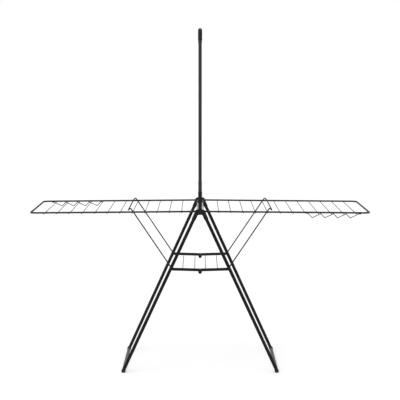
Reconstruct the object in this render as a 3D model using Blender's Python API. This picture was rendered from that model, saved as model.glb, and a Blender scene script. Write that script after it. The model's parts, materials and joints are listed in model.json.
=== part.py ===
"""Free-standing folding clothes airer: A-frame legs, two drying wings, and an arched garment rod.

X runs along the wings, Y from the front hub to the rear hub, Z up from the floor.
Sizes below are in millimetres; meshes are made in metres. A body's pieces are parented to
an empty that stands on the axis the body turns about.
"""

import math

import bmesh
import bpy
from mathutils import Matrix, Vector
from mathutils.geometry import convex_hull_2d

MM = 0.001
GAP = 0.3                 # clearance between two touching pieces

# Hubs and hinge rods
PIVOT_X, PIVOT_Z = 17.0, 943.0
HINGE_ROD_R = 3.0
LEG_Y = 304.0             # plane of the hubs and poles, and of the legs where they hang
CHEEK_IN, CHEEK_OUT = 288.1, 319.9
CHEEK_T = 3.6
HUB_HALF, HUB_TOP, HUB_ROUND = 32.0, 956.0, 19.0

# Legs and feet
LEG_ANGLE = 24.6          # from vertical
LEG_R = 9.5
LEG_BEND = 56.0           # below the socket the leg turns in towards the middle
FOOT_Y = 246.0            # plane of the legs at the floor
SOCKET_R, SOCKET_LENGTH = 12.0, 48.0
FLOOR_TUBE_Z = 10.5
CAP_R, CAP_IN, CAP_FACE, CAP_END = 12.0, 257.0, 269.0, 273.0

# Folding spreader between the legs
STAY_POS = 359.3          # leg pivot of the spreader, measured down the leg from the hinge rod
BAR_H, BAR_IN, BAR_OUT = 16.0, 267.0, 273.0
BAR_Z, BAR_RISE = 604.0, 1.7
KNEE_Z, KNEE_R = 592.0, 10.5
SPREADER_WIRES = (31.0, 100.0)

# Drying wings
RAIL_Y, RAIL_R = 282.5, 5.0
WING_END, WING_CORNER = 965.0, 30.0
WING_DROOP = 0.5
WIRE_R, WIRE_Y = 1.9, 287.0
INNER_WIRES, FIRST_WIRE, INNER_PITCH = 5, 106.0, 69.8
OUTER_WIRES, OUTER_PITCH = 7, 72.0

# Toothed hanger wire under one rail of each wing
HANGER_R, HANGER_START, HANGER_END = 2.2, 606.5, 916.0
TOOTH_FIRST, TOOTH_PITCH, TOOTH_RISE, TOOTH_DEPTH = 637.0, 72.1, 49.0, 23.5
TEETH = 4

# Wire struts that hold the wings up
STRUT_R, STRUT_Y = 3.5, 256.0
HOOK_WIDTH, HOOK_TOP, HOOK_TIP = 13.0, 960.0, 947.5

# Garment rod
POLE_R, POLE_SLEEVE_R, POLE_SLEEVE_TOP = 9.5, 11.3, 1058.0
ROD_TOP, ELBOW_R, ELBOW_BEND = 1973.0, 11.5, 22.0
ELBOW_FOOT, COLLAR_TOP, COLLAR_R = 1907.0, 1914.0, 12.2
ELBOW_REACH = 59.0

BLACK = ("black_powder_coat", (0.012, 0.012, 0.013, 1), 0.45, 0.0)
GREY = ("grey_powder_coat", (0.045, 0.045, 0.048, 1), 0.40, 0.2)
WIRE = ("grey_wire", (0.05, 0.05, 0.053, 1), 0.38, 0.3)
PLASTIC = ("black_plastic", (0.010, 0.010, 0.011, 1), 0.55, 0.0)
STEEL = ("zinc_steel", (0.55, 0.56, 0.58, 1), 0.35, 1.0)


# ---- scene helpers ---------------------------------------------------------------------

def clear_scene():
    for item in list(bpy.data.objects):
        bpy.data.objects.remove(item, do_unlink=True)


def material(spec):
    name, colour, roughness, metallic = spec
    found = bpy.data.materials.get(name)
    if found is None:
        found = bpy.data.materials.new(name)
        found.use_nodes = True
        shader = found.node_tree.nodes["Principled BSDF"]
        shader.inputs["Base Color"].default_value = colour
        shader.inputs["Roughness"].default_value = roughness
        shader.inputs["Metallic"].default_value = metallic
        found.diffuse_color = colour
    return found


def place(name, bm):
    """An object from a bmesh drawn in millimetres."""
    bmesh.ops.recalc_face_normals(bm, faces=bm.faces)
    bmesh.ops.scale(bm, vec=(MM, MM, MM), verts=bm.verts)
    mesh = bpy.data.meshes.new(name)
    bm.to_mesh(mesh)
    bm.free()
    item = bpy.data.objects.new(name, mesh)
    bpy.context.scene.collection.objects.link(item)
    return item


def boolean(item, bm, operation):
    """Joins a bmesh to an object, or cuts it away, and keeps the result."""
    tool = place("tool", bm)
    tool.hide_render = True
    tool.display_type = "WIRE"
    step = item.modifiers.new("boolean", "BOOLEAN")
    step.solver, step.operation, step.object = "EXACT", operation, tool
    graph = bpy.context.evaluated_depsgraph_get()
    result = bpy.data.meshes.new_from_object(item.evaluated_get(graph))
    item.modifiers.remove(step)
    spent = item.data
    item.data = result
    bpy.data.meshes.remove(spent)
    spent = tool.data
    bpy.data.objects.remove(tool)
    bpy.data.meshes.remove(spent)
    result.name = item.name


def join(item, *tools):
    for bm in tools:
        boolean(item, bm, "UNION")


def cut(item, *tools):
    for bm in tools:
        boolean(item, bm, "DIFFERENCE")


def finish(item, spec, parent):
    """Material, smooth shading with sharp corners kept, and the parent empty."""
    bm = bmesh.new()
    bm.from_mesh(item.data)
    bmesh.ops.dissolve_degenerate(bm, dist=1e-6, edges=bm.edges)
    for face in bm.faces:
        face.smooth = True
    for edge in bm.edges:
        edge.smooth = edge.calc_face_angle(0.0) < math.radians(32)
    bm.to_mesh(item.data)
    bm.free()
    item.data.materials.clear()
    item.data.materials.append(material(spec))
    item.parent = parent
    item.matrix_parent_inverse = parent.matrix_world.inverted()
    return item


def joint_empty(name, x, z, parent=None):
    """An empty on a hinge axis that runs along Y."""
    item = bpy.data.objects.new(name, None)
    item.empty_display_size = 0.03
    item.location = (x * MM, 0, z * MM)
    bpy.context.scene.collection.objects.link(item)
    bpy.context.view_layer.update()
    if parent:
        item.parent = parent
        item.matrix_parent_inverse = parent.matrix_world.inverted()
        bpy.context.view_layer.update()
    return item


# ---- shapes, in millimetres ------------------------------------------------------------

def sweep(points, radius, segments=16):
    """A round bar along a line of points."""
    points = [Vector(p) for p in points]
    bm = bmesh.new()
    rings, side = [], None
    for i, point in enumerate(points):
        before = (point - points[i - 1]).normalized() if i else None
        after = (points[i + 1] - point).normalized() if i + 1 < len(points) else None
        along = ((before or after) + (after or before)).normalized()
        if side is None:
            side = along.cross(Vector((0, 0, 1)))
            if side.length < 0.2:
                side = along.cross(Vector((1, 0, 0)))
        side = (side - along * side.dot(along)).normalized()
        other = along.cross(side)
        ring = []
        for k in range(segments):
            turn = 2 * math.pi * k / segments
            offset = side * math.cos(turn) + other * math.sin(turn)
            ring.append(bm.verts.new(point + offset * radius))
        rings.append(ring)
    for a, b in zip(rings, rings[1:]):
        for k in range(segments):
            n = (k + 1) % segments
            bm.faces.new((a[k], a[n], b[n], b[k]))
    bm.faces.new(rings[0])
    bm.faces.new(rings[-1])
    return bm


def rod(start, end, radius, segments=24):
    return sweep([start, end], radius, segments)


def rod_y(x, z, y0, y1, radius, segments=24):
    return rod((x, y0, z), (x, y1, z), radius, segments)


def fillet(points, radii, steps=5):
    """The same line of points with each inner corner rounded to its radius."""
    points = [Vector(p) for p in points]
    out = [points[0]]
    for before, corner, after, radius in zip(points, points[1:], points[2:], radii):
        a, b = (before - corner).normalized(), (after - corner).normalized()
        half = a.angle(b) / 2
        centre = corner + (a + b).normalized() * radius / math.sin(half)
        start = corner + a * radius / math.tan(half)
        end = corner + b * radius / math.tan(half)
        u, v = start - centre, end - centre
        sweep_angle = u.angle(v)
        for k in range(steps + 1):
            t = k / steps
            mixed = u * math.sin((1 - t) * sweep_angle) + v * math.sin(t * sweep_angle)
            out.append(centre + mixed / math.sin(sweep_angle))
    return out + [points[-1]]


def plate(outline, y0, y1):
    """An outline in X and Z, extruded along Y."""
    bm = bmesh.new()
    low = [bm.verts.new((x, y0, z)) for x, z in outline]
    high = [bm.verts.new((x, y1, z)) for x, z in outline]
    bm.faces.new(low)
    bm.faces.new(high)
    for k in range(len(outline)):
        n = (k + 1) % len(outline)
        bm.faces.new((low[k], low[n], high[n], high[k]))
    return bm


def block(lo, hi):
    return plate([(lo[0], lo[2]), (hi[0], lo[2]), (hi[0], hi[2]), (lo[0], hi[2])], lo[1], hi[1])


def circle(x, z, radius, segments=24):
    turns = [2 * math.pi * k / segments for k in range(segments)]
    return [(x + radius * math.cos(t), z + radius * math.sin(t)) for t in turns]


def hull(*outlines):
    points = [p for outline in outlines for p in outline]
    return [points[i] for i in convex_hull_2d([Vector(p) for p in points])]


def rounded(outline, radii, steps=4):
    """A closed outline with its corners rounded."""
    out = []
    for k, radius in enumerate(radii):
        before, corner, after = outline[k - 1], outline[k], outline[(k + 1) % len(outline)]
        line = [(p[0], 0, p[1]) for p in (before, corner, after)]
        arc = fillet(line, [radius], steps)[1:-1] if radius else [Vector(line[1])]
        out += [(p.x, p.z) for p in arc]
    return out


def dome_y(x, z, y0, y1, radius, rise=0.6, segments=16):
    """A disc along Y whose far face is domed: y1 is the top of the dome."""
    steps = 3
    base = y0 + (y1 - y0) * (1 - rise)
    bm = bmesh.new()
    levels = [(radius, y0), (radius, base)]
    for k in range(1, steps):
        t = math.pi / 2 * k / steps
        levels.append((radius * math.cos(t), base + (y1 - base) * math.sin(t)))
    rings = []
    for r, y in levels:
        rings.append([bm.verts.new((px, y, pz)) for px, pz in circle(x, z, r, segments)])
    for a, b in zip(rings, rings[1:]):
        for k in range(segments):
            n = (k + 1) % segments
            bm.faces.new((a[k], a[n], b[n], b[k]))
    tip = bm.verts.new((x, y1, z))
    for k in range(segments):
        bm.faces.new((rings[-1][k], rings[-1][(k + 1) % segments], tip))
    bm.faces.new(rings[0])
    return bm


def turned(bm, side):
    """The left-hand side is the right-hand side turned half way round about Z."""
    if side == "left":
        bmesh.ops.rotate(bm, cent=(0, 0, 0), matrix=Matrix.Rotation(math.pi, 3, "Z"),
                         verts=bm.verts)
    return bm


# ---- derived positions -----------------------------------------------------------------

TILT = math.radians(LEG_ANGLE)
LEG_DIR = Vector((math.sin(TILT), 0, -math.cos(TILT)))
PIVOT = Vector((PIVOT_X, 0, PIVOT_Z))
FOOT_S = (PIVOT_Z - FLOOR_TUBE_Z) / math.cos(TILT)
FLOOR_TUBE_X = PIVOT_X + FOOT_S * math.sin(TILT)
STAY = PIVOT + LEG_DIR * STAY_POS
LEAN = (LEG_Y - FOOT_Y) / (FOOT_S - LEG_BEND)
STAY_Y = LEG_Y - LEAN * (STAY_POS - LEG_BEND)
WIRE_DROP = RAIL_R + WIRE_R + GAP
WIRE_XS = [FIRST_WIRE + INNER_PITCH * k for k in range(INNER_WIRES)]
WIRE_XS += [WIRE_XS[-1] + OUTER_PITCH * (k + 1) for k in range(OUTER_WIRES)]
DROOP = Matrix.Rotation(math.radians(WING_DROOP), 3, "Y")
STRUT_AXIS = PIVOT + DROOP @ Vector((WIRE_XS[INNER_WIRES - 1] - PIVOT_X, 0, -WIRE_DROP))
SIDES = {"left": -1, "right": 1}
ENDS = {"front": -1, "rear": 1}


def on_leg(s, y=0.0):
    """A point down the right-hand leg, s from the hinge rod."""
    return PIVOT + LEG_DIR * s + Vector((0, y, 0))


# ---- hubs and garment rod --------------------------------------------------------------

def hub(end, parent):
    """Two cheeks, a web and a roof, with the sleeve that the pole stands in."""
    outline = [(-HUB_HALF, 922), (-HUB_HALF, HUB_TOP), (HUB_HALF, HUB_TOP), (HUB_HALF, 922),
               (16, 922), (10, 928), (-10, 928), (-16, 922)]
    cheek = rounded(outline, [4, HUB_ROUND, HUB_ROUND, 4, 4, 6, 6, 4], 5)
    cheek_y = ((-CHEEK_OUT, -CHEEK_OUT + CHEEK_T), (-CHEEK_IN - CHEEK_T, -CHEEK_IN))
    item = place(f"{end}_hub", plate(cheek, *cheek_y[0]))
    join(item,
         plate(cheek, *cheek_y[1]),
         block((-4.4, -CHEEK_OUT + 1, 929), (4.4, -CHEEK_IN - 1, 954)),
         block((-13, -CHEEK_OUT + 0.8, 952.8), (13, -CHEEK_IN - 0.8, HUB_TOP - 0.6)),
         rod((0, -LEG_Y, 952.6), (0, -LEG_Y, POLE_SLEEVE_TOP), POLE_SLEEVE_R))
    cut(item,
        rod((0, -LEG_Y, 957), (0, -LEG_Y, POLE_SLEEVE_TOP + 1), POLE_R + GAP / 2),
        rod_y(PIVOT_X, PIVOT_Z, -330, -280, HINGE_ROD_R + GAP / 2, 16),
        rod_y(-PIVOT_X, PIVOT_Z, -330, -280, HINGE_ROD_R + GAP / 2, 16))
    return turn_item(item, end, parent, PLASTIC)


def turn_item(item, end, parent, spec):
    if end == "rear":
        item.data.transform(Matrix.Rotation(math.pi, 4, "Z"))
    return finish(item, spec, parent)


def elbow(end, parent):
    """Plastic corner that joins a pole to the top rail."""
    level = ROD_TOP - ELBOW_R
    path = [(0, -LEG_Y, ELBOW_FOOT), (0, -LEG_Y, level), (0, -LEG_Y + ELBOW_REACH, level)]
    item = place(f"{end}_elbow", sweep(fillet(path, [ELBOW_BEND], 8), ELBOW_R, 24))
    join(item, rod((0, -LEG_Y, ELBOW_FOOT - 0.5), (0, -LEG_Y, COLLAR_TOP), COLLAR_R))
    bore = POLE_R + GAP / 2
    cut(item,
        rod((0, -LEG_Y, ELBOW_FOOT - 2), (0, -LEG_Y, level - 28), bore),
        rod((0, -LEG_Y + 26, level), (0, -LEG_Y + ELBOW_REACH + 2, level), bore))
    return turn_item(item, end, parent, PLASTIC)


def garment_rod(parent):
    level = ROD_TOP - ELBOW_R
    for end, sign in ENDS.items():
        pole = rod((0, sign * LEG_Y, 957 + GAP), (0, sign * LEG_Y, level - 28 - GAP), POLE_R)
        finish(place(f"{end}_pole", pole), GREY, parent)
        elbow(end, parent)
    reach = LEG_Y - 26 - GAP
    finish(place("top_rail", rod((0, -reach, level), (0, reach, level), POLE_R)), GREY, parent)


def hinge_rods(parent):
    """The two headed rods that the legs and wings turn on."""
    face = CHEEK_OUT + GAP
    for side, sign in SIDES.items():
        x = sign * PIVOT_X
        item = place(f"{side}_hinge_rod",
                     rod_y(x, PIVOT_Z, -face - 1.2, face + 1.2, HINGE_ROD_R, 16))
        join(item,
             dome_y(x, PIVOT_Z, face, face + 3.4, 6.0),
             dome_y(x, PIVOT_Z, -face, -face - 3.4, 6.0))
        finish(item, STEEL, parent)


# ---- legs ------------------------------------------------------------------------------

def leg_frame(side, parent):
    for end, sign in ENDS.items():
        # The left-hand shapes are turned about Z, so they are drawn at the other end first.
        t = sign * SIDES[side]
        x, y, z = FLOOR_TUBE_X, t * LEG_Y, FLOOR_TUBE_Z
        item = place(f"{side}_{end}_socket",
                     turned(rod(on_leg(2, y), on_leg(SOCKET_LENGTH, y), SOCKET_R), side))
        join(item, turned(rod_y(PIVOT_X, PIVOT_Z, y - 11.7, y + 11.7, 9.0), side))
        cut(item,
            turned(rod(on_leg(12, y), on_leg(SOCKET_LENGTH + 2, y), LEG_R + GAP / 2), side),
            turned(rod_y(PIVOT_X, PIVOT_Z, y - 15, y + 15, HINGE_ROD_R + GAP / 2, 16), side))
        finish(item, PLASTIC, parent)

        line = [on_leg(12 + GAP, y), on_leg(LEG_BEND, y), on_leg(FOOT_S - 4, t * FOOT_Y)]
        tube = place(f"{side}_{end}_leg", turned(sweep(line, LEG_R, 24), side))
        cut(tube, turned(rod_y(x, z, t * 200, t * 290, LEG_R + GAP), side))
        join(tube, *leg_rivet(side, sign))
        finish(tube, BLACK, parent)

        foot = place(f"{side}_{end}_foot", turned(rod_y(x, z, t * CAP_IN, t * CAP_FACE, CAP_R),
                                                  side))
        join(foot, turned(dome_y(x, z, t * (CAP_FACE - 1), t * CAP_END, CAP_R - 0.6), side))
        cut(foot,
            turned(rod_y(x, z, t * (CAP_IN - 2), t * (CAP_FACE - 3), LEG_R + GAP / 2), side),
            turned(block((x - 20, y - 80, -20), (x + 20, y + 80, 0)), side))
        finish(foot, PLASTIC, parent)

    reach = CAP_FACE - 3 - GAP
    tube = rod_y(FLOOR_TUBE_X, FLOOR_TUBE_Z, -reach, reach, LEG_R)
    finish(place(f"{side}_floor_tube", turned(tube, side)), GREY, parent)


def leg_rivet(side, sign):
    """Rivet through a leg at the spreader. On the left it carries the spreader's ear; on the
    right it stops short of the ear, where the linkage is opened."""
    x, z = SIDES[side] * STAY.x, STAY.z
    head = sign * (STAY_Y + LEG_R - 0.4)
    shoulder, tail = sign * (BAR_OUT + GAP), sign * (BAR_IN - GAP)
    shapes = [dome_y(x, z, head, head + sign * 3.2, 5.5),
              rod_y(x, z, shoulder, sign * (STAY_Y - 4), 5.0, 16)]
    if side == "left":
        shapes += [rod_y(x, z, sign * (STAY_Y - 2), tail - sign * 0.5, 3.0, 16),
                   dome_y(x, z, tail, tail - sign * 2.6, 5.0)]
    return shapes


# ---- folding spreader ------------------------------------------------------------------

def bar_level(x):
    return BAR_Z + abs(x) * math.tan(math.radians(BAR_RISE))


def spreader_panel(side, parent):
    """Two flat bars that meet their partners at a lapped knee below their centreline."""
    s = SIDES[side]
    for end, sign in ENDS.items():
        tip = s * 158.0
        bar = [(s * 0.2, BAR_Z - BAR_H / 2), (s * 0.2, BAR_Z + BAR_H / 2),
               (tip, bar_level(tip) + BAR_H / 2), (tip, bar_level(tip) - BAR_H / 2)]
        ear = hull(circle(tip, bar_level(tip), BAR_H / 2),
                   circle(s * STAY.x, STAY.z, 7.5))
        item = place(f"{side}_spreader_{end}", plate(bar, sign * BAR_IN, sign * BAR_OUT))
        join(item, plate(ear, sign * (BAR_IN + 0.01), sign * (BAR_OUT - 0.01)))
        middle = (BAR_IN + BAR_OUT) / 2
        near = (BAR_IN, middle - 0.1) if side == "left" else (middle + 0.1, BAR_OUT)
        far = (middle, BAR_OUT + 1) if side == "left" else (BAR_IN - 1, middle)
        cut(item, rod_y(0, KNEE_Z, sign * far[0], sign * far[1], KNEE_R + GAP))
        neck = [(s * 0.2, KNEE_Z), (s * 0.2, BAR_Z + 6), (s * 12, BAR_Z + 6), (s * 12, BAR_Z),
                (s * 8, KNEE_Z)]
        for shape, skin in ((circle(0, KNEE_Z, KNEE_R), 0.01), (neck, 0.02)):
            join(item, plate(shape, sign * (near[0] + skin), sign * (near[1] - skin)))
        if side == "left":
            cut(item, rod_y(-STAY.x, STAY.z, sign * 250, sign * 290, 3.15, 16))
            head = sign * (BAR_OUT + GAP)
            join(item,
                 rod_y(0, KNEE_Z, sign * (BAR_IN + 1), head + sign * 0.5, 3.0, 16),
                 dome_y(0, KNEE_Z, head, head + sign * 2.4, 5.5),
                 dome_y(0, KNEE_Z, sign * (BAR_IN + 0.5), sign * (BAR_IN - 2), 5.5))
        else:
            cut(item, rod_y(0, KNEE_Z, sign * 250, sign * 290, 3.15, 16))
            join(item, dome_y(STAY.x, STAY.z, sign * (BAR_IN + 0.5), sign * (BAR_IN - 2.9), 5.0))
        finish(item, BLACK, parent)
    reach = BAR_IN - GAP
    for name, x in zip(("inner", "outer"), SPREADER_WIRES):
        wire = rod_y(s * x, bar_level(x), -reach, reach, WIRE_R, 10)
        finish(place(f"{side}_spreader_wire_{name}", wire), WIRE, parent)


# ---- wings -----------------------------------------------------------------------------

def drooped(bm, side):
    """Turns a level wing shape down about the hinge rod, then onto its side."""
    bmesh.ops.rotate(bm, cent=PIVOT, matrix=DROOP, verts=bm.verts)
    return turned(bm, side)


def wing(side, parent):
    start = PIVOT_X + 4
    path = [(start, -RAIL_Y, PIVOT_Z), (WING_END, -RAIL_Y, PIVOT_Z),
            (WING_END, RAIL_Y, PIVOT_Z), (start, RAIL_Y, PIVOT_Z)]
    frame = sweep(fillet(path, [WING_CORNER] * 2), RAIL_R, 16)
    item = place(f"{side}_wing_frame", drooped(frame, side))
    for y in (-RAIL_Y, RAIL_Y):
        join(item, drooped(rod_y(PIVOT_X, PIVOT_Z, y - 2.5, y + 2.5, 7.0), side))
    cut(item, drooped(rod_y(PIVOT_X, PIVOT_Z, -300, 300, HINGE_ROD_R + GAP / 2, 16), side))
    join(item, drooped(hanger_wire(), side))
    finish(item, GREY, parent)
    for k, x in enumerate(WIRE_XS):
        wire = rod_y(x, PIVOT_Z - WIRE_DROP, -WIRE_Y, WIRE_Y, WIRE_R, 10)
        finish(place(f"{side}_wire_{k + 1:02d}", drooped(wire, side)), WIRE, parent)


def hanger_wire():
    """Toothed wire welded under a rail, for clothes hangers."""
    high = PIVOT_Z - RAIL_R - HANGER_R + 0.6
    low = high - TOOTH_DEPTH
    line = [(HANGER_START, high), (TOOTH_FIRST + TOOTH_RISE - TOOTH_PITCH, high)]
    for k in range(TEETH):
        x = TOOTH_FIRST + TOOTH_PITCH * k
        line += [(x, low), (x + TOOTH_RISE, high)]
    line.append((HANGER_END, high))
    path = [(x, -RAIL_Y, z) for x, z in line]
    return sweep(fillet(path, [4.0] + [3.0] * (len(path) - 3), 2), HANGER_R, 8)


def strut(side, parent):
    """A wire bail hooked over the wing's fifth wire, with a flattened eye on each foot."""
    reach = STRUT_AXIS - STAY
    slope = math.atan2(reach.z, reach.x) + math.asin((STRUT_R + WIRE_R + GAP) / reach.length)
    x = STAY.x + (HOOK_TOP - STAY.z) / math.tan(slope)
    arm = [(STAY.x, STAY.z), (x, HOOK_TOP), (x + HOOK_WIDTH, HOOK_TIP)]
    front = [(px, -STRUT_Y, pz) for px, pz in arm]
    back = [(px, STRUT_Y, pz) for px, pz in reversed(arm)]
    path = fillet(front + back, [6, 9, 9, 6], 4)
    item = place(f"{side}_strut", turned(sweep(path, STRUT_R, 12), side))
    for sign in (-1, 1):
        y = sign * STRUT_Y
        join(item,
             turned(rod_y(STAY.x, STAY.z, y - 2.2, y + 2.2, 6.5), side),
             turned(rod_y(STAY.x, STAY.z, y - sign * 3, sign * (BAR_IN - 3.6), 3.0, 16), side),
             turned(dome_y(STAY.x, STAY.z, y - sign * 2, y - sign * 4.6, 5.0), side))
    finish(item, WIRE, parent)


# ---- assembly --------------------------------------------------------------------------

def main():
    clear_scene()
    base = joint_empty("base", 0, PIVOT_Z)
    for end in ENDS:
        hub(end, base)
    garment_rod(base)
    hinge_rods(base)

    legs = {}
    for side, s in SIDES.items():
        legs[side] = joint_empty(f"{side}_leg_joint", s * PIVOT_X, PIVOT_Z, base)
        leg_frame(side, legs[side])
        wing_joint = joint_empty(f"{side}_wing_joint", s * PIVOT_X, PIVOT_Z, legs[side])
        wing(side, wing_joint)
        strut(side, joint_empty(f"{side}_strut_joint", s * STRUT_AXIS.x, STRUT_AXIS.z,
                                wing_joint))

    left = joint_empty("left_spreader_joint", -STAY.x, STAY.z, legs["left"])
    spreader_panel("left", left)
    spreader_panel("right", joint_empty("right_spreader_joint", 0, KNEE_Z, left))


main()
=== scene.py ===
"""Looks for the folding clothes airer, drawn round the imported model.

Metres, Z up. X runs along the wings, Y from the front hub to the rear hub. Places come from
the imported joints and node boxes; the sizes named here are those of the details.
"""

import json
import math

import bmesh
import bpy
from mathutils import Matrix, Vector
from mathutils.geometry import convex_hull_2d


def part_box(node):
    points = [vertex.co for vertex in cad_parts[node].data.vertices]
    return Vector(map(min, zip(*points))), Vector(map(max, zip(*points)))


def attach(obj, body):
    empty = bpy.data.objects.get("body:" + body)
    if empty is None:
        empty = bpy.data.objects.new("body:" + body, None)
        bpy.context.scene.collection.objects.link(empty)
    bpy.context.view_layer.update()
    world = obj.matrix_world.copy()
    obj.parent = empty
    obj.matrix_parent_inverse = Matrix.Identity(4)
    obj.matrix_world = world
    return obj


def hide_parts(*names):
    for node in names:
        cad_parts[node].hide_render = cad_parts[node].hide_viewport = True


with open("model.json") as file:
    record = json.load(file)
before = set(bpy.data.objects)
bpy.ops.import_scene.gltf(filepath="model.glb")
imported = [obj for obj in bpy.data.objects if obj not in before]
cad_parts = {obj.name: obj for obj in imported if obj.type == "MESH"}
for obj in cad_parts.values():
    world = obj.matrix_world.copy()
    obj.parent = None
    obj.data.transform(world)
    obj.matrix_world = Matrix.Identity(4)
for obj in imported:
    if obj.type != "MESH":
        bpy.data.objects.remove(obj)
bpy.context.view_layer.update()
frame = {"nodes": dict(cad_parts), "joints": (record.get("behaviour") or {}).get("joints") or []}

MM = 0.001
GAP = 0.3 * MM
SIDES = {"left": -1, "right": 1}
ENDS = {"front": -1, "rear": 1}


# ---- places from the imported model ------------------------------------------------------

JOINTS = {joint["name"]: joint for joint in frame["joints"]}


def axis_of(joint):
    """Where a right-hand joint's axis crosses the plane Y = 0."""
    x, _, z = JOINTS[joint]["pos_m"]
    return Vector((abs(x), 0, z))


def middle(node):
    low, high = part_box(node)
    return (low + high) / 2


HINGE = axis_of("right_wing_hinge")
HOOK = axis_of("right_strut_hinge")
KNEE = axis_of("spreader_knee")
STAY = axis_of("left_spreader_hinge")
LEG_DIR = (STAY - HINGE).normalized()
LEG_Y = middle("rear_pole").y
FLOOR_TUBE = middle("right_floor_tube")
FLOOR_TUBE_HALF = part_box("right_floor_tube")[1].y
FOOT_S = (HINGE.z - FLOOR_TUBE.z) / -LEG_DIR.z
WIRE_COUNT = sum(name.startswith("right_wire_") for name in frame["nodes"])
FIRST_WIRE, LAST_WIRE = middle("right_wire_01"), middle(f"right_wire_{WIRE_COUNT:02d}")
WING_DIR = (LAST_WIRE - FIRST_WIRE).normalized()
WING_DOWN = Vector((WING_DIR.z, 0, -WING_DIR.x))

# Legs: each turns in below its socket, and meets the floor tube at FOOT_Y
LEG_BEND, FOOT_Y = 56 * MM, 246 * MM
STAY_S = (STAY - HINGE).length
STAY_Y = LEG_Y - (LEG_Y - FOOT_Y) * (STAY_S - LEG_BEND) / (FOOT_S - LEG_BEND)
TUBE_START, BORE_START = 12.3 * MM, 12 * MM
WELD_BEADS = 56

# Tubes and wires
LEG_R, POLE_R, RAIL_R, STRUT_R = 9.5 * MM, 9.5 * MM, 5 * MM, 3.5 * MM
WIRE_R, HANGER_R, HINGE_ROD_R = 1.9 * MM, 2.2 * MM, 3 * MM
RAIL_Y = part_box("right_wing_frame")[1].y - RAIL_R
WING_REACH = (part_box("right_wing_frame")[1].x - RAIL_R - HINGE.x) / WING_DIR.x
WING_CORNER = 30 * MM

# Toothed hanger wire, measured along the wing from the hinge rod
HANGER_START, HANGER_END = 589.5 * MM, 899 * MM
TOOTH_FIRST, TOOTH_PITCH, TOOTH_RISE, TOOTH_DEPTH = 620 * MM, 72.1 * MM, 49 * MM, 23.5 * MM
TEETH = 4

# Plastic fittings
HUB_TOP, HUB_ROUND = HINGE.z + 13 * MM, 19 * MM
CHEEK_T, PANEL_RIM, PANEL_DEPTH = 3.6 * MM, 2.6 * MM, 0.9 * MM
SOCKET_R, SOCKET_LENGTH, CAP_R = 12 * MM, 48 * MM, 12 * MM
KNUCKLE_R, KNUCKLE_HALF = 9 * MM, 11.7 * MM
PIN_HEAD_R, PIN_HEAD_RISE = 6 * MM, 3.4 * MM
ELBOW_R, ELBOW_BEND, COLLAR_R, COLLAR_LENGTH = 11.5 * MM, 22 * MM, 12.2 * MM, 7 * MM

# Spreader
BAR_IN, BAR_OUT, BAR_H = 267 * MM, 273 * MM, 16 * MM
BAR_Z, BAR_SLOPE = KNEE.z + 12 * MM, math.tan(math.radians(1.7))
BAR_TIP, KNEE_R, EAR_R = 158 * MM, 10.5 * MM, 7.5 * MM

# Struts
STRUT_Y, HOOK_WIDTH = 256 * MM, 13 * MM
HOOK_TOP, HOOK_TIP = HINGE.z + 17 * MM, HINGE.z + 4.5 * MM


# ---- mesh tools ------------------------------------------------------------------------

def fillet(points, radii, steps=8):
    """The same line of points with each inner corner rounded to its radius."""
    points = [Vector(p) for p in points]
    out = [points[0]]
    for before, corner, after, radius in zip(points, points[1:], points[2:], radii):
        a, b = (before - corner).normalized(), (after - corner).normalized()
        half = a.angle(b) / 2
        centre = corner + (a + b).normalized() * radius / math.sin(half)
        u = corner + a * radius / math.tan(half) - centre
        v = corner + b * radius / math.tan(half) - centre
        turn = u.angle(v)
        for k in range(steps + 1):
            t = k / steps
            mixed = u * math.sin((1 - t) * turn) + v * math.sin(t * turn)
            out.append(centre + mixed / math.sin(turn))
    return out + [points[-1]]


def skin(rings):
    """A closed solid over rings of the same number of points."""
    bm = bmesh.new()
    loops = [[bm.verts.new(p) for p in ring] for ring in rings]
    count = len(loops[0])
    for a, b in zip(loops, loops[1:]):
        for k in range(count):
            n = (k + 1) % count
            bm.faces.new((a[k], a[n], b[n], b[k]))
    bm.faces.new(loops[0])
    bm.faces.new(loops[-1])
    return bm


def sweep(points, radius, segments=24, soft=0.35, shape=None):
    """A round bar along a line of points, with softened ends. shape, if given, maps a point
    to its own (across, up) radii, for a stretch that is pressed flat."""
    points = [Vector(p) for p in points]
    steps, stations = 3, []
    edge = soft * radius
    for i, point in enumerate(points):
        before = (point - points[i - 1]).normalized() if i else None
        after = (points[i + 1] - point).normalized() if i + 1 < len(points) else None
        along = ((before or after) + (after or before)).normalized()
        shrink = [(0.0, 0.0)]
        if before is None or after is None:
            turns = [math.pi / 2 * k / steps for k in range(steps + 1)]
            shrink = [(edge * (1 - math.sin(t)), edge * (1 - math.cos(t))) for t in turns]
        if before is None:
            stations += [(point + along * back, along, less) for back, less in reversed(shrink)]
        else:
            stations += [(point - along * back, along, less) for back, less in shrink]
    rings, side = [], None
    for point, along, less in stations:
        if side is None:
            side = along.cross(Vector((0, 0, 1)))
            if side.length < 0.2:
                side = Vector((0, 1, 0))
        side = (side - along * side.dot(along)).normalized()
        up = side.cross(along)
        across, tall = shape(point) if shape else (radius, radius)
        turns = [2 * math.pi * k / segments for k in range(segments)]
        rings.append([point + side * math.cos(t) * (across - less)
                      + up * math.sin(t) * (tall - less) for t in turns])
    return skin(rings)


def lathe(profile, origin, axis, segments=48):
    """A turned solid. profile runs from end to end as (radius, distance along the axis)."""
    origin, axis = Vector(origin), Vector(axis).normalized()
    side = axis.orthogonal().normalized()
    other = axis.cross(side)
    rings = []
    for radius, along in profile:
        radius = max(radius, 0.02 * MM)
        turns = [2 * math.pi * k / segments for k in range(segments)]
        rings.append([origin + axis * along + (side * math.cos(t) + other * math.sin(t)) * radius
                      for t in turns])
    return skin(rings)


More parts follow.
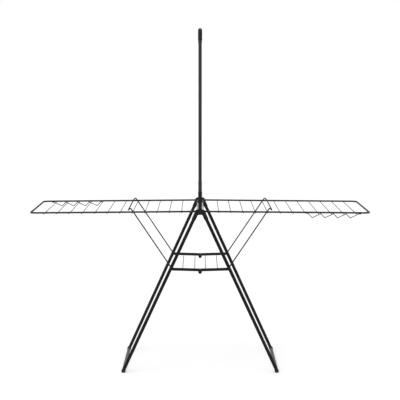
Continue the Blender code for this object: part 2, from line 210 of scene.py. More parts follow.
def barrel(start, end, radius, segments=48, edge=0.5 * MM):
    """A straight turned bar with rounded rims."""
    start, end = Vector(start), Vector(end)
    length = (end - start).length
    corners = [(0, 0, 0), (radius, 0, 0), (radius, length, 0), (0, length, 0)]
    if edge:
        corners = fillet(corners, [edge, edge], 3)
    return lathe([(p[0], p[1]) for p in corners], start, end - start, segments)


def rod_y(x, z, y0, y1, radius, segments=32, edge=0.3 * MM):
    return barrel((x, y0, z), (x, y1, z), radius, segments, edge)


def dome(x, z, base, top, radius, skirt=0.8 * MM, segments=32):
    """A domed rivet head along Y, from its flat base to the top of the dome."""
    sign = 1 if top > base else -1
    height = abs(top - base) - skirt
    profile = [(0, 0), (radius - 0.25 * MM, 0), (radius, 0.25 * MM), (radius, skirt)]
    for k in range(1, 9):
        t = math.pi / 2 * k / 8
        profile.append((radius * math.cos(t), skirt + height * math.sin(t)))
    return lathe(profile, (x, base, z), (0, sign, 0), segments)


def plate(outline, y0, y1):
    """An outline in X and Z, extruded along Y."""
    return skin([[Vector((x, y, z)) for x, z in outline] for y in (y0, y1)])


def block(low, high):
    corners = [(low[0], low[2]), (high[0], low[2]), (high[0], high[2]), (low[0], high[2])]
    return plate(corners, low[1], high[1])


def circle(x, z, radius, segments=48):
    turns = [2 * math.pi * k / segments for k in range(segments)]
    return [(x + radius * math.cos(t), z + radius * math.sin(t)) for t in turns]


def hull(*outlines):
    points = [p for outline in outlines for p in outline]
    return [points[i] for i in convex_hull_2d([Vector(p) for p in points])]


def rounded(outline, radii, steps=6):
    """A closed outline with its corners rounded."""
    out = []
    for k, radius in enumerate(radii):
        line = [(p[0], p[1], 0) for p in (outline[k - 1], outline[k],
                                          outline[(k + 1) % len(outline)])]
        out += [(p.x, p.y) for p in fillet(line, [radius], steps)[1:-1]]
    return out


def bead(centre, size):
    """A small weld nugget."""
    bm = bmesh.new()
    bmesh.ops.create_icosphere(bm, subdivisions=2, radius=1.0)
    bmesh.ops.scale(bm, vec=size, verts=bm.verts)
    bmesh.ops.translate(bm, vec=centre, verts=bm.verts)
    return bm


def object_of(name, bm):
    bmesh.ops.recalc_face_normals(bm, faces=bm.faces)
    mesh = bpy.data.meshes.new(name)
    bm.to_mesh(mesh)
    bm.free()
    item = bpy.data.objects.new(name, mesh)
    bpy.context.scene.collection.objects.link(item)
    return item


def merged(*shapes):
    """One mesh of several shapes that only touch, such as a row of weld nuggets."""
    whole = bmesh.new()
    for bm in shapes:
        spare = bpy.data.meshes.new("spare")
        bm.to_mesh(spare)
        bm.free()
        whole.from_mesh(spare)
        bpy.data.meshes.remove(spare)
    return whole


def apply_modifiers(item):
    graph = bpy.context.evaluated_depsgraph_get()
    result = bpy.data.meshes.new_from_object(item.evaluated_get(graph))
    item.modifiers.clear()
    item.data = result


def boolean(item, bm, operation):
    tool = object_of("tool", bm)
    step = item.modifiers.new("boolean", "BOOLEAN")
    step.solver, step.operation, step.object = "EXACT", operation, tool
    apply_modifiers(item)
    bpy.data.objects.remove(tool)


def soften(item, width, segments=2, angle=38):
    """Rounds every corner that is sharper than the angle."""
    step = item.modifiers.new("bevel", "BEVEL")
    step.width, step.segments = width, segments
    step.limit_method, step.angle_limit = "ANGLE", math.radians(angle)
    apply_modifiers(item)


def moulded(name, shapes, cuts=(), edge=0.4 * MM):
    """A moulding: shapes joined, cuts taken away, and every corner rounded a little."""
    item = object_of(name, shapes[0])
    for bm in shapes[1:]:
        boolean(item, bm, "UNION")
    for bm in cuts:
        boolean(item, bm, "DIFFERENCE")
    if edge:
        soften(item, edge)
    return item


def turned(item, turn=True):
    """The left side and the rear are the right side and the front turned about Z."""
    if turn:
        item.data.transform(Matrix.Rotation(math.pi, 4, "Z"))
    return item


def show(item, look, body, slot, *nodes):
    """Finishes a piece: material, smooth shading, and the CAD body and nodes it stands for."""
    item.data.materials.clear()
    item.data.materials.append(look)
    item.data.shade_smooth()
    item.data.set_sharp_from_angle(angle=math.radians(34))
    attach(item, body)
    if nodes:
        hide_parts(*nodes)
    return item


# ---- materials -------------------------------------------------------------------------

class Paint:
    """A Principled material and short ways to add nodes to it."""

    def __init__(self, name, colour, roughness, metallic=0.0, specular=0.5):
        self.material = bpy.data.materials.new(name)
        self.material.use_nodes = True
        self.tree = self.material.node_tree
        self.shader = self.tree.nodes["Principled BSDF"]
        self.set(self.shader, "Base Color", (*colour, 1))
        self.set(self.shader, "Roughness", roughness)
        self.set(self.shader, "Metallic", metallic)
        self.set(self.shader, "Specular IOR Level", specular)
        self.place = self.node("ShaderNodeTexCoord").outputs["Object"]
        self.bumped = None

    def node(self, kind):
        return self.tree.nodes.new(kind)

    def set(self, node, socket, value):
        if isinstance(value, bpy.types.NodeSocket):
            self.tree.links.new(value, node.inputs[socket])
        else:
            node.inputs[socket].default_value = value

    def noise(self, scale, detail=2.0, roughness=0.5, stretch=None):
        """Noise whose features are about 1 / scale metres across."""
        place = self.place
        if stretch:
            mapping = self.node("ShaderNodeMapping")
            self.set(mapping, "Vector", place)
            self.set(mapping, "Scale", stretch)
            place = mapping.outputs["Vector"]
        node = self.node("ShaderNodeTexNoise")
        self.set(node, "Vector", place)
        self.set(node, "Scale", scale)
        self.set(node, "Detail", detail)
        self.set(node, "Roughness", roughness)
        return node.outputs["Fac"]

    def pebbles(self, scale):
        node = self.node("ShaderNodeTexVoronoi")
        self.set(node, "Vector", self.place)
        self.set(node, "Scale", scale)
        return node.outputs["Distance"]

    def spread(self, value, low, high, start=0.3, end=0.7):
        """Maps a pattern onto low to high."""
        node = self.node("ShaderNodeMapRange")
        self.set(node, "Value", value)
        self.set(node, "From Min", start)
        self.set(node, "From Max", end)
        self.set(node, "To Min", low)
        self.set(node, "To Max", high)
        return node.outputs["Result"]

    def times(self, a, b):
        node = self.node("ShaderNodeMath")
        node.operation = "MULTIPLY"
        self.tree.links.new(a, node.inputs[0])
        self.tree.links.new(b, node.inputs[1])
        return node.outputs["Value"]

    def mix(self, share, a, b):
        """Colour a turning into colour b as share goes from 0 to 1."""
        node = self.node("ShaderNodeMix")
        node.data_type = "RGBA"
        self.tree.links.new(share, node.inputs[0])
        for socket, value in ((6, a), (7, b)):
            if isinstance(value, bpy.types.NodeSocket):
                self.tree.links.new(value, node.inputs[socket])
            else:
                node.inputs[socket].default_value = (*value, 1)
        return node.outputs[2]

    def edges(self, start=0.52, end=0.58):
        """1 along outer edges, where a finish wears."""
        node = self.node("ShaderNodeNewGeometry")
        return self.spread(node.outputs["Pointiness"], 0.0, 1.0, start, end)

    def upward(self):
        """1 where the surface faces up and dust can lie."""
        split = self.node("ShaderNodeSeparateXYZ")
        coords = self.node("ShaderNodeTexCoord")
        self.set(split, "Vector", coords.outputs["Normal"])
        return self.spread(split.outputs["Z"], 0.0, 1.0, 0.55, 1.0)

    def bump(self, height, strength, distance):
        node = self.node("ShaderNodeBump")
        self.set(node, "Height", height)
        self.set(node, "Strength", strength)
        self.set(node, "Distance", distance)
        if self.bumped:
            self.set(node, "Normal", self.bumped)
        self.bumped = node.outputs["Normal"]

    def done(self, colour, roughness):
        self.set(self.shader, "Base Color", colour)
        self.set(self.shader, "Roughness", roughness)
        self.set(self.shader, "Normal", self.bumped)
        return self.material


def scaled(colour, factor):
    return tuple(min(1.0, c * factor) for c in colour)


def powder_coat(name, colour, roughness, metallic=0.0, specular=0.5, dust=0.03):
    """Baked powder paint: orange peel, fine flecks lightened as painted glints, thin scuffs, dust
    on top faces.
    """
    paint = Paint(name, colour, roughness, metallic, specular)
    cloud = paint.noise(11, 4, 0.6)
    grain_and_glints = paint.noise(1500, 2, 0.6)
    tone = paint.mix(paint.spread(cloud, 0.0, 1.0), scaled(colour, 0.82), scaled(colour, 1.2))
    # Fine specks lifted to 1.9 times the colour: painted glints.
    tone = paint.mix(paint.spread(grain_and_glints, 0.0, 0.35, 0.55, 0.8), tone, scaled(colour, 1.9))
    scuff = paint.times(paint.edges(), paint.spread(paint.noise(160, 3), 0.0, 0.8, 0.5, 0.72))
    tone = paint.mix(scuff, tone, tuple(c * 0.5 + 0.07 for c in colour))
    dusty = paint.times(paint.upward(), paint.spread(paint.noise(70, 5, 0.65), 0.0, dust))
    tone = paint.mix(dusty, tone, (0.42, 0.41, 0.39))
    paint.bump(paint.noise(330, 1, 0.4), 0.35, 0.10 * MM)
    paint.bump(grain_and_glints, 0.25, 0.05 * MM)
    return paint.done(tone, paint.spread(cloud, roughness - 0.06, roughness + 0.09))


def moulded_plastic(name, colour, roughness, specular=0.5):
    """Eroded mould texture, faint flow marks and polished corners."""
    paint = Paint(name, colour, roughness, 0.0, specular)
    flow = paint.noise(30, 3, 0.55, (1.0, 1.0, 0.25))
    texture = paint.pebbles(1300)
    tone = paint.mix(paint.spread(flow, 0.0, 1.0), scaled(colour, 0.85), scaled(colour, 1.25))
    rubbed = paint.times(paint.edges(), paint.spread(paint.noise(220, 3), 0.0, 0.7, 0.4, 0.7))
    tone = paint.mix(rubbed, tone, tuple(c * 0.5 + 0.045 for c in colour))
    dusty = paint.times(paint.upward(), paint.spread(paint.noise(80, 5, 0.65), 0.0, 0.025))
    tone = paint.mix(dusty, tone, (0.40, 0.39, 0.37))
    paint.bump(texture, 0.30, 0.06 * MM)
    paint.bump(paint.noise(2600, 1, 0.5), 0.20, 0.03 * MM)
    return paint.done(tone, paint.spread(flow, roughness - 0.07, roughness + 0.10))


def zinc(name, colour, roughness):
    """Zinc plate: drawing lines along the rod, clouded passivation, small dull spots."""
    paint = Paint(name, colour, roughness, 1.0)
    cloud = paint.noise(60, 4, 0.6)
    lines = paint.noise(1.0, 3, 0.6, (2600, 40, 2600))
    tone = paint.mix(paint.spread(cloud, 0.0, 1.0), scaled(colour, 0.78), (0.70, 0.69, 0.64))
    tone = paint.mix(paint.spread(lines, 0.0, 0.5, 0.5, 0.75), tone, scaled(colour, 0.55))
    paint.bump(lines, 0.35, 0.04 * MM)
    return paint.done(tone, paint.spread(lines, roughness - 0.08, roughness + 0.16))


TUBE_BLACK = powder_coat("black_powder_coat", (0.010, 0.010, 0.011), 0.42, specular=0.35)
BAR_BLACK = powder_coat("spreader_powder_coat", (0.011, 0.011, 0.012), 0.38, specular=0.4)
POLE_GREY = powder_coat("anthracite_powder_coat", (0.064, 0.064, 0.066), 0.42, 0.25)
RAIL_GREY = powder_coat("rail_powder_coat", (0.040, 0.040, 0.042), 0.40, 0.25)
# The floor tube's lighter grey stands in for light: painted reflection of the white floor and
# painted light from above.
FLOOR_TUBE_PAINTED_LIGHT = powder_coat("floor_tube_painted_reflection_coat", (0.190, 0.190, 0.194), 0.44, 0.2)
WIRE_GREY = powder_coat("wire_coating", (0.022, 0.022, 0.023), 0.40, 0.10, dust=0.02)
PLASTIC = moulded_plastic("black_moulded_plastic", (0.011, 0.011, 0.012), 0.50, specular=0.4)
PLUG_GREY = moulded_plastic("grey_plug_plastic", (0.12, 0.12, 0.12), 0.48)
RIVET = powder_coat("painted_rivet", (0.016, 0.016, 0.017), 0.34, 0.3, dust=0.02)
STEEL = zinc("zinc_plated_steel", (0.60, 0.61, 0.63), 0.30)


# ---- hubs and garment rod --------------------------------------------------------------

def on_leg(s, y=0.0):
    """A point down the right-hand leg, s from the hinge rod."""
    return HINGE + LEG_DIR * s + Vector((0, y, 0))


def hub(end):
    """Two cheeks with a sunk panel and bosses, a web, a roof, and the pole's sleeve."""
    low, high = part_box("front_hub")
    half, foot = high.x, low.z
    outer, inner = low.y, high.y
    arch = foot + 6 * MM
    outline = [(-half, foot), (-half, HUB_TOP), (half, HUB_TOP), (half, foot),
               (16 * MM, foot), (10 * MM, arch), (-10 * MM, arch), (-16 * MM, foot)]
    radii = [4 * MM, HUB_ROUND, HUB_ROUND, 4 * MM, 4 * MM, 6 * MM, 6 * MM, 4 * MM]
    cheek = rounded(outline, radii, 12)
    inset = [(x - math.copysign(PANEL_RIM, x), z + (PANEL_RIM if z < HINGE.z else -PANEL_RIM))
             for x, z in outline[:4]]
    inset += [(12.5 * MM, foot + PANEL_RIM), (8 * MM, arch + PANEL_RIM),
              (-8 * MM, arch + PANEL_RIM), (-12.5 * MM, foot + PANEL_RIM)]
    corner = HUB_ROUND - PANEL_RIM
    panel = rounded(inset, [2 * MM, corner, corner, 2 * MM, 2 * MM, 4 * MM, 4 * MM, 2 * MM], 12)

    # The pole's sleeve: radius and height above the hub's top, in millimetres
    sleeve = [(0, -3.2), (11.3, -3.2), (11.3, 96), (11.8, 97), (11.8, 101.2), (11, 102), (0, 102)]
    sleeve = [(radius * MM, HUB_TOP + height * MM) for radius, height in sleeve]
    web, roof = 4.4 * MM, 13 * MM
    item = moulded(f"{end}_hub_moulding", [plate(cheek, outer, outer + CHEEK_T)],
                   [plate(panel, outer - 1 * MM, outer + PANEL_DEPTH)], edge=0)
    for bm in [
            rod_y(-HINGE.x, HINGE.z, outer + 0.1 * MM, outer + CHEEK_T - 0.2 * MM, 8.2 * MM),
            rod_y(HINGE.x, HINGE.z, outer + 0.1 * MM, outer + CHEEK_T - 0.2 * MM, 8.2 * MM),
            plate(cheek, inner - CHEEK_T, inner),
            block((-web, outer + 0.3 * MM, foot + 7 * MM),
                  (web, inner - 1 * MM, HUB_TOP - 1.5 * MM)),
            block((-roof, outer + 1.2 * MM, HUB_TOP - 3.2 * MM),
                  (roof, inner - 0.8 * MM, HUB_TOP - 0.6 * MM)),
            lathe(sleeve, (0, -LEG_Y, 0), (0, 0, 1))]:
        boolean(item, bm, "UNION")
    pole_bore = barrel((0, -LEG_Y, HUB_TOP + 1.5 * MM), (0, -LEG_Y, high.z + 5 * MM),
                       POLE_R + GAP / 2, 48, 0)
    pin_bores = [rod_y(x, HINGE.z, -330 * MM, -280 * MM, HINGE_ROD_R + GAP / 2, 32, 0)
                 for x in (-HINGE.x, HINGE.x)]
    for bm in [pole_bore] + pin_bores:
        boolean(item, bm, "DIFFERENCE")
    soften(item, 0.35 * MM)
    show(turned(item, end == "rear"), PLASTIC, "base", "plastic", f"{end}_hub")


def elbow(end):
    """Plastic corner with a collar on each mouth."""
    low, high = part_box("front_elbow")
    level = high.z - ELBOW_R
    reach = high.y
    path = fillet([(0, -LEG_Y, low.z + 1 * MM), (0, -LEG_Y, level), (0, reach - 1 * MM, level)],
                  [ELBOW_BEND], 16)
    collar_end = COLLAR_LENGTH + 0.6 * MM
    collar = [(0, 0), (COLLAR_R - 0.5 * MM, 0), (COLLAR_R, 0.6 * MM),
              (COLLAR_R, COLLAR_LENGTH - 1.5 * MM), (ELBOW_R - 0.4 * MM, collar_end),
              (0, collar_end)]
    mouth = [(0, 0), (ELBOW_R - 0.1 * MM, 0), (ELBOW_R + 0.3 * MM, 0.5 * MM),
             (ELBOW_R + 0.3 * MM, 5 * MM), (ELBOW_R - 0.4 * MM, 6 * MM), (0, 6 * MM)]
    bore = POLE_R + GAP / 2
    item = moulded(
        f"{end}_elbow_moulding",
        [sweep(path, ELBOW_R, 48, 0.04),
         lathe(collar, (0, -LEG_Y, low.z), (0, 0, 1)),
         lathe(mouth, (0, reach, level), (0, -1, 0))],
        [barrel((0, -LEG_Y, low.z - 2 * MM), (0, -LEG_Y, level - 28 * MM), bore, 48, 0),
         barrel((0, -LEG_Y + 26 * MM, level), (0, reach + 2 * MM, level), bore, 48, 0)],
        edge=0.25 * MM)
    show(turned(item, end == "rear"), PLASTIC, "base", "plastic", f"{end}_elbow")


def garment_rod():
    for end in ENDS:
        low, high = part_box(f"{end}_pole")
        y = (low.y + high.y) / 2
        pole = object_of(f"{end}_pole_tube", barrel((0, y, low.z), (0, y, high.z), POLE_R, 64))
        show(pole, POLE_GREY, "base", "grey_tube", f"{end}_pole")
        elbow(end)
    low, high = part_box("top_rail")
    z = (low.z + high.z) / 2
    rail = object_of("top_rail_tube", barrel((0, low.y, z), (0, high.y, z), POLE_R, 64))
    show(rail, POLE_GREY, "base", "grey_tube", "top_rail")


def hinge_rods():
    """Plated rods, each with a dark cap over either end."""
    for side, s in SIDES.items():
        low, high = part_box(f"{side}_hinge_rod")
        x, shoulder = s * HINGE.x, high.y - PIN_HEAD_RISE
        rod = rod_y(x, HINGE.z, -shoulder - 1 * MM, shoulder + 1 * MM, HINGE_ROD_R)
        show(object_of(f"{side}_hinge_rod_plated", rod), STEEL, "base", "steel",
             f"{side}_hinge_rod")
        heads = merged(dome(x, HINGE.z, shoulder, high.y, PIN_HEAD_R),
                       dome(x, HINGE.z, -shoulder, low.y, PIN_HEAD_R))
        show(object_of(f"{side}_hinge_rod_caps", heads), PLASTIC, "base", "steel")


# ---- legs ------------------------------------------------------------------------------

def sleeve_profile(radius, length, lip):
    """A socket's outline from its root to its mouth, which ends in a low rounded lip."""
    corners = [(0, 0, 0), (radius, 0, 0), (radius, length - 4 * MM, 0),
               (radius + lip, length - 3.2 * MM, 0), (radius + lip, length, 0), (0, length, 0)]
    edges = [0.5 * MM, 0.6 * MM, 0.4 * MM, 0.6 * MM]
    return [(p.x, p.y) for p in fillet(corners, edges, 3)]


def socket(side, end, t):
    """Root of a leg: an eye on the hinge rod and a sleeve round the tube."""
    y, root, lip = t * LEG_Y, 2 * MM, 0.2 * MM
    sleeve = sleeve_profile(SOCKET_R - lip, SOCKET_LENGTH - root, lip)
    item = moulded(
        f"{side}_{end}_socket_moulding",
        [lathe(sleeve, on_leg(root, y), LEG_DIR),
         rod_y(HINGE.x, HINGE.z, y - KNUCKLE_HALF, y + KNUCKLE_HALF, KNUCKLE_R, 48,
               0.6 * MM)],
        [barrel(on_leg(BORE_START, y), on_leg(SOCKET_LENGTH + 2 * MM, y), LEG_R + GAP / 2, 48, 0),
         rod_y(HINGE.x, HINGE.z, y - 15 * MM, y + 15 * MM, HINGE_ROD_R + GAP / 2, 32, 0)],
        edge=0.3 * MM)
    show(turned(item, side == "left"), PLASTIC, f"{side}_leg_frame", "plastic",
         f"{side}_{end}_socket")


def leg_tube(side, end, t):
    """A tube bent in a little below its socket, its end coped round the floor tube and
    welded to it."""
    line = [on_leg(TUBE_START, t * LEG_Y), on_leg(LEG_BEND, t * LEG_Y),
            on_leg(FOOT_S - 4 * MM, t * FOOT_Y)]
    tube = sweep(fillet(line, [120 * MM], 6), LEG_R, 64, 0.05)
    cope = rod_y(FLOOR_TUBE.x, FLOOR_TUBE.z, t * 200 * MM, t * 290 * MM, LEG_R + GAP, 64, 0)
    item = moulded(f"{side}_{end}_leg_tube", [tube], [cope], edge=0)
    show(turned(item, side == "left"), TUBE_BLACK, f"{side}_leg_frame", "black_tube",
         f"{side}_{end}_leg")

    # The weld follows the saddle where the leg's surface meets the floor tube's.
    root, across = on_leg(FOOT_S, t * FOOT_Y), Vector((-LEG_DIR.z, 0, LEG_DIR.x))
    welds = []
    for k in range(WELD_BEADS):
        turn = 2 * math.pi * k / WELD_BEADS
        spot = root + Vector((0, math.sin(turn), 0)) * LEG_R + across * math.cos(turn) * LEG_R
        rise = math.sqrt(max(0.0, LEG_R ** 2 - (math.cos(turn) * LEG_R) ** 2))
        welds.append(bead(spot - LEG_DIR * (rise + 0.4 * MM), (1.5 * MM, 1.3 * MM, 1.1 * MM)))
    item = object_of(f"{side}_{end}_leg_weld", merged(*welds))
    show(turned(item, side == "left"), TUBE_BLACK, f"{side}_leg_frame", "black_tube")


def leg_rivet(side, end):
    """Rivet through a leg, with a spacer to the spreader's ear. Only the left one goes on
    through the ear, where the linkage is joined."""
    s, sign = SIDES[side], ENDS[end]
    x, z = s * STAY.x, STAY.z
    head = sign * (STAY_Y + LEG_R - 0.4 * MM)
    spacer = sign * (BAR_OUT + GAP)
    shapes = [dome(x, z, head, head + sign * 3.2 * MM, 5.5 * MM),
              rod_y(x, z, spacer, sign * (STAY_Y - 4 * MM), 5 * MM)]
    if side == "left":
        tail = sign * (BAR_IN - GAP)
        shapes += [rod_y(x, z, tail - sign * 0.5 * MM, spacer + sign * 1 * MM, 3 * MM),
                   dome(x, z, tail, tail - sign * 2.6 * MM, 5 * MM)]
    item = object_of(f"{side}_{end}_leg_rivet", merged(*shapes))
    show(item, RIVET, f"{side}_leg_frame", "black_tube")


def foot(side, end, t):
    """An end cap on the floor tube: rounded rim, flat ribbed sole, and a button plug."""
    x, z = FLOOR_TUBE.x, FLOOR_TUBE.z
    low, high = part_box("right_rear_foot")
    inner, tip = low.y, high.y
    length = tip - inner
    corners = [(0, 0, 0), (CAP_R, 0, 0), (CAP_R, length - 3.5 * MM, 0),
               (CAP_R - 2.6 * MM, length, 0), (0, length, 0)]
    outline = [(p.x, p.y) for p in fillet(corners, [0.6 * MM, 2 * MM, 1.2 * MM], 5)]
    below, wide = 20 * MM, 30 * MM
    cuts = [rod_y(x, z, t * (inner - 2 * MM), t * (FLOOR_TUBE_HALF + GAP), LEG_R + GAP / 2, 48, 0),
            block((x - wide, -2 * inner, -below), (x + wide, 2 * inner, 0))]
    for start in (3.5 * MM, 8 * MM):
        groove = sorted((t * (inner + start), t * (inner + start + 1.5 * MM)))
        cuts.append(block((x - wide, groove[0], -below), (x + wide, groove[1], 0.7 * MM)))
    item = moulded(f"{side}_{end}_foot_moulding", [lathe(outline, (x, t * inner, z), (0, t, 0))],
                   cuts, edge=0.3 * MM)
    show(turned(item, side == "left"), PLASTIC, f"{side}_leg_frame", "plastic",
         f"{side}_{end}_foot")

    plug = [(0, 0), (4.6, 0), (4.6, 2.4), (4.2, 2.8), (2.4, 2.8), (2.0, 2.2), (0, 2.1)]
    plug = [(radius * MM, along * MM) for radius, along in plug]
    item = object_of(f"{side}_{end}_foot_plug",
                     lathe(plug, (x, t * (tip - 2.2 * MM), z), (0, t, 0)))
    show(turned(item, side == "left"), PLUG_GREY, f"{side}_leg_frame", "plastic")


def leg_frame(side):
    for end, sign in ENDS.items():
        # The left-hand shapes are turned about Z, so they are drawn at the other end first.
        t = sign * SIDES[side]
        socket(side, end, t)
        leg_tube(side, end, t)
        leg_rivet(side, end)
        foot(side, end, t)
    x, z = FLOOR_TUBE.x, FLOOR_TUBE.z
    tube = rod_y(x, z, -FLOOR_TUBE_HALF, FLOOR_TUBE_HALF, LEG_R, 64, 0.5 * MM)
    item = object_of(f"{side}_floor_tube_coated", tube)
    # Grey coat: painted reflection and painted top light on the floor tube.
    show(turned(item, side == "left"), FLOOR_TUBE_PAINTED_LIGHT, f"{side}_leg_frame", "grey_tube",
         f"{side}_floor_tube")


# ---- folding spreader ------------------------------------------------------------------

def bar_level(x):
    return BAR_Z + abs(x) * BAR_SLOPE


def spreader_bar(side, end):
    """A flat bar: an ear on the leg's rivet, and half of the lapped knee at the middle."""
    s, sign = SIDES[side], ENDS[end]
    half = BAR_H / 2
    bar = [(s * 0.2 * MM, BAR_Z - half), (s * 0.2 * MM, BAR_Z + half),
           (s * BAR_TIP, bar_level(BAR_TIP) + half), (s * BAR_TIP, bar_level(BAR_TIP) - half)]
    ear = hull(circle(s * BAR_TIP, bar_level(BAR_TIP), half), circle(s * STAY.x, STAY.z, EAR_R))
    mid = (BAR_IN + BAR_OUT) / 2
    left = side == "left"
    near = (BAR_IN, mid - 0.1 * MM) if left else (mid + 0.1 * MM, BAR_OUT)
    far = (mid, BAR_OUT + 1 * MM) if left else (BAR_IN - 1 * MM, mid)
    skin_gap = 0.01 * MM
    item = moulded(
        f"{side}_spreader_{end}_bar",
        [plate(bar, sign * BAR_IN, sign * BAR_OUT),
         plate(ear, sign * (BAR_IN + skin_gap), sign * (BAR_OUT - skin_gap))],
        [rod_y(0, KNEE.z, sign * far[0], sign * far[1], KNEE_R + GAP, 48, 0)], edge=0)
    neck = [(s * 0.2 * MM, KNEE.z), (s * 0.2 * MM, BAR_Z + half - 0.5 * MM),
            (s * 12 * MM, BAR_Z + half - 0.5 * MM), (s * 12 * MM, BAR_Z), (s * 8 * MM, KNEE.z)]
    for shape, inset in ((circle(0, KNEE.z, KNEE_R), skin_gap), (neck, 2 * skin_gap)):
        boolean(item, plate(shape, sign * (near[0] + inset), sign * (near[1] - inset)), "UNION")
    soften(item, 0.5 * MM, 3, 50)
    show(item, BAR_BLACK, f"{side}_spreader", "black_tube", f"{side}_spreader_{end}")

    face, back = sign * (BAR_OUT + GAP), sign * (BAR_IN + 0.2 * MM)
    if left:
        shapes = [rod_y(0, KNEE.z, back, face + sign * 0.3 * MM, 3 * MM),
                  dome(0, KNEE.z, face, face + sign * 2.4 * MM, 5.5 * MM),
                  dome(0, KNEE.z, back, back - sign * 2.2 * MM, 5.5 * MM)]
    else:
        shapes = [dome(STAY.x, STAY.z, back, sign * (BAR_IN - 2.9 * MM), 5 * MM)]
    show(object_of(f"{side}_spreader_{end}_rivet", merged(*shapes)), RIVET,
         f"{side}_spreader", "black_tube")


def spreader_panel(side):
    for end in ENDS:
        spreader_bar(side, end)
    welds = []
    for name in ("inner", "outer"):
        node = f"{side}_spreader_wire_{name}"
        low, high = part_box(node)
        x, z = (low.x + high.x) / 2, (low.z + high.z) / 2
        item = object_of(f"{node}_coated", rod_y(x, z, low.y, high.y, WIRE_R, 20))
        show(item, WIRE_GREY, f"{side}_spreader", "wire", node)
        for sign in (-1, 1):
            welds.append(bead((x, sign * (BAR_IN - 0.5 * MM), z),
                              (2.5 * MM, 1.1 * MM, 2.3 * MM)))
    show(object_of(f"{side}_spreader_welds", merged(*welds)), BAR_BLACK,
         f"{side}_spreader", "black_tube")


# ---- wings -----------------------------------------------------------------------------

def on_wing(along, y, drop=0.0):
    """A point on the right-hand wing, along it from the hinge rod and below its rail."""
    return HINGE + WING_DIR * along + Vector((0, y, 0)) + WING_DOWN * drop


def pressed(point):
    """Rail radii: flattened beside the eye on the hinge rod, round from 30 mm on."""
    t = min(1.0, max(0.0, (point.x - HINGE.x - 9 * MM) / (21 * MM)))
    t = t * t * (3 - 2 * t)
    flat, tall = 2.5 * MM, 5.6 * MM
    return flat + (RAIL_R - flat) * t, tall + (RAIL_R - tall) * t


def wing_frame(side):
    """One bent wire: eye, rail, rounded end, rail, eye. The hanger wire welded on it is drawn by
    hanger_wire.
    """
    start = 4 * MM
    runs = [start + k * 5 * MM for k in range(1, 7)]
    bend = fillet([on_wing(runs[-1], -RAIL_Y), on_wing(WING_REACH, -RAIL_Y),
                   on_wing(WING_REACH, RAIL_Y), on_wing(runs[-1], RAIL_Y)],
                  [WING_CORNER] * 2, 12)
    line = [on_wing(x, -RAIL_Y) for x in [start] + runs[:-1]] + bend
    line += [on_wing(x, RAIL_Y) for x in reversed([start] + runs[:-1])]
    eyes = [rod_y(HINGE.x, HINGE.z, y - 2.5 * MM, y + 2.5 * MM, 7 * MM, 40, 0.8 * MM)
            for y in (-RAIL_Y, RAIL_Y)]
    item = moulded(
        f"{side}_wing_rail", [sweep(line, RAIL_R, 28, 0.2, pressed)] + eyes,
        [rod_y(HINGE.x, HINGE.z, -0.3, 0.3, HINGE_ROD_R + GAP / 2, 32, 0)], edge=0)
    show(turned(item, side == "left"), RAIL_GREY, f"{side}_wing", "grey_tube",
         f"{side}_wing_frame")


def hanger_wire(side):
    """Toothed wire under a rail, and the nuggets that weld its peaks to the rail."""
    high = RAIL_R + HANGER_R - 0.6 * MM
    peaks = [HANGER_START + 4 * MM, HANGER_END - 4 * MM]
    line = [(HANGER_START, high), (TOOTH_FIRST + TOOTH_RISE - TOOTH_PITCH, high)]
    for k in range(TEETH):
        x = TOOTH_FIRST + TOOTH_PITCH * k
        line += [(x, high + TOOTH_DEPTH), (x + TOOTH_RISE, high)]
        peaks.append(x + TOOTH_RISE)
    line.append((HANGER_END, high))
    path = [on_wing(x, -RAIL_Y, drop) for x, drop in line]
    wire = sweep(fillet(path, [4 * MM] + [3 * MM] * (len(path) - 3), 6), HANGER_R, 20)
    welds = [bead(on_wing(x, -RAIL_Y, high - 1.3 * MM), (2.6 * MM, 1.9 * MM, 1.4 * MM))
             for x in peaks]
    item = object_of(f"{side}_hanger_wire", merged(wire, *welds))
    show(turned(item, side == "left"), RAIL_GREY, f"{side}_wing", "grey_tube")


def wing_wires(side):
    """Cross wires under both rails, each welded to them."""
    welds = []
    for k in range(1, WIRE_COUNT + 1):
        low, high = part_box(f"right_wire_{k:02d}")
        x, z = (low.x + high.x) / 2, (low.z + high.z) / 2
        item = object_of(f"{side}_wire_{k:02d}_coated", rod_y(x, z, low.y, high.y, WIRE_R, 20))
        show(turned(item, side == "left"), WIRE_GREY, f"{side}_wing", "wire",
             f"{side}_wire_{k:02d}")
        for y in (-RAIL_Y, RAIL_Y):
            spot = Vector((x, y, z)) - WING_DOWN * (WIRE_R + 0.1 * MM)
            welds.append(bead(spot, (2.2 * MM, 2.4 * MM, 1.1 * MM)))
    item = object_of(f"{side}_wing_welds", merged(*welds))
    show(turned(item, side == "left"), RAIL_GREY, f"{side}_wing", "grey_tube")


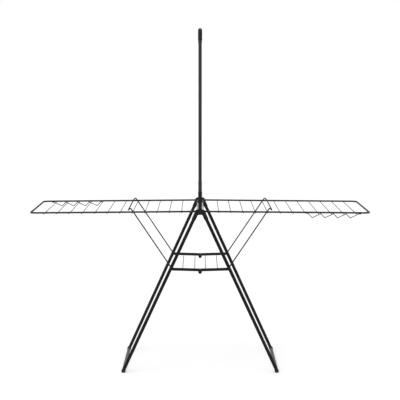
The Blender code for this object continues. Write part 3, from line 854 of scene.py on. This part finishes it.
def strut(side):
    """A wire bail hooked over the wing's fifth wire, its feet pressed into riveted eyes."""
    to_wire = HOOK - STAY
    slope = math.atan2(to_wire.z, to_wire.x)
    slope += math.asin((STRUT_R + WIRE_R + GAP) / to_wire.length)
    apex = STAY.x + (HOOK_TOP - STAY.z) / math.tan(slope)
    arm = [(STAY.x, STAY.z), (apex, HOOK_TOP), (apex + HOOK_WIDTH, HOOK_TIP)]
    front = [(x, -STRUT_Y, z) for x, z in arm]
    back = [(x, STRUT_Y, z) for x, z in reversed(arm)]
    path = fillet(front + back, [6 * MM, 9 * MM, 9 * MM, 6 * MM], 10)
    flat_end = 22 * MM
    arms = []
    for a, b in ((path[0], path[1]), (path[-1], path[-2])):
        arms.append([a.lerp(b, k * 3 * MM / (b - a).length) for k in range(8)])
    line = arms[0] + path[1:-1] + list(reversed(arms[1]))

    def flattened(point):
        t = min(1.0, max(0.0, ((point - Vector((STAY.x, point.y, STAY.z))).length - 5 * MM)
                         / (flat_end - 8 * MM)))
        t = t * t * (3 - 2 * t)
        flat, tall = 2.1 * MM, 3.4 * MM
        return flat + (STRUT_R - flat) * t, tall + (STRUT_R - tall) * t

    eyes = [rod_y(STAY.x, STAY.z, y - 2.1 * MM, y + 2.1 * MM, 6.5 * MM, 40, 0.7 * MM)
            for y in (-STRUT_Y, STRUT_Y)]
    item = moulded(f"{side}_strut_wire", [sweep(line, STRUT_R, 24, 0.2, flattened)] + eyes,
                   edge=0)
    show(turned(item, side == "left"), WIRE_GREY, f"{side}_strut", "wire", f"{side}_strut")
    rivets = []
    for sign in (-1, 1):
        y = sign * STRUT_Y
        rivets += [rod_y(STAY.x, STAY.z, y, sign * (BAR_IN - 3.6 * MM), 3 * MM),
                   dome(STAY.x, STAY.z, y - sign * 2 * MM, y - sign * 4.6 * MM, 5 * MM)]
    item = object_of(f"{side}_strut_rivets", merged(*rivets))
    show(turned(item, side == "left"), RIVET, f"{side}_strut", "wire")


# ---- studio ----------------------------------------------------------------------------

AMBIENT = 0.34
CAMERA_PLACE = (-0.0005, -6.5437, 1.7394)
CAMERA_PITCH, CAMERA_LENS = 6.6566, 100.0


def studio_floor():
    """A wide pale sheet, self-lit enough to stay white beside its faint shadows."""
    paint = Paint("pale_studio_floor", (0.86, 0.86, 0.86), 0.9, 0.0, 0.0)
    paint.set(paint.shader, "Emission Color", (1, 1, 1, 1))
    paint.set(paint.shader, "Emission Strength", 0.42)
    tone = paint.mix(paint.spread(paint.noise(1.3, 2), 0.0, 1.0), (0.855,) * 3, (0.865,) * 3)
    paint.bump(paint.noise(90, 2), 0.02, 0.1 * MM)
    rings, reach = [], 60.0
    for z in (-4 * MM, -0.1 * MM):
        rings.append([Vector((reach * math.cos(t), reach * math.sin(t), z))
                      for t in (2 * math.pi * k / 64 for k in range(64))])
    item = object_of("studio_floor", skin(rings))
    item.data.materials.append(paint.done(tone, paint.spread(paint.noise(4), 0.85, 0.95)))
    item.visible_diffuse = False
    item.visible_glossy = False


def sky():
    """White all round: full white behind the object, and a softer white that lights it."""
    world = bpy.data.worlds.new("studio")
    bpy.context.scene.world = world
    world.use_nodes = True
    tree = world.node_tree
    seen, lit = tree.nodes["Background"], tree.nodes.new("ShaderNodeBackground")
    seen.inputs["Color"].default_value = (1, 1, 1, 1)
    seen.inputs["Strength"].default_value = 1.0
    lit.inputs["Color"].default_value = (1, 1, 1, 1)
    lit.inputs["Strength"].default_value = AMBIENT
    path, mix = tree.nodes.new("ShaderNodeLightPath"), tree.nodes.new("ShaderNodeMixShader")
    tree.links.new(path.outputs["Is Camera Ray"], mix.inputs["Fac"])
    tree.links.new(lit.outputs["Background"], mix.inputs[1])
    tree.links.new(seen.outputs["Background"], mix.inputs[2])
    tree.links.new(mix.outputs["Shader"], tree.nodes["World Output"].inputs["Surface"])


def lamp(name, power, spread, tilt, turn):
    """A very wide, soft lamp far away: tilt from overhead, turned about Z."""
    light = bpy.data.lights.new(name, "SUN")
    light.energy = power
    light.angle = math.radians(spread)
    item = bpy.data.objects.new(name, light)
    item.rotation_euler = (math.radians(tilt), 0, math.radians(turn))
    bpy.context.scene.collection.objects.link(item)


def camera():
    lens = bpy.data.cameras.new("camera")
    lens.lens, lens.sensor_width, lens.clip_end = CAMERA_LENS, 36.0, 300.0
    item = bpy.data.objects.new("camera", lens)
    item.location = CAMERA_PLACE
    item.rotation_euler = (math.radians(90 - CAMERA_PITCH), 0, 0)
    bpy.context.scene.collection.objects.link(item)
    bpy.context.scene.camera = item


bpy.context.scene.view_settings.view_transform = "Standard"
camera()
sky()
studio_floor()
lamp("top_softbox", 0.9, 70, 12, -30)
lamp("left_softbox", 0.55, 60, 52, -55)

for end in ENDS:
    hub(end)
garment_rod()
hinge_rods()
for side in SIDES:
    leg_frame(side)
    spreader_panel(side)
    wing_frame(side)
    hanger_wire(side)
    wing_wires(side)
    strut(side)

bpy.context.view_layer.update()
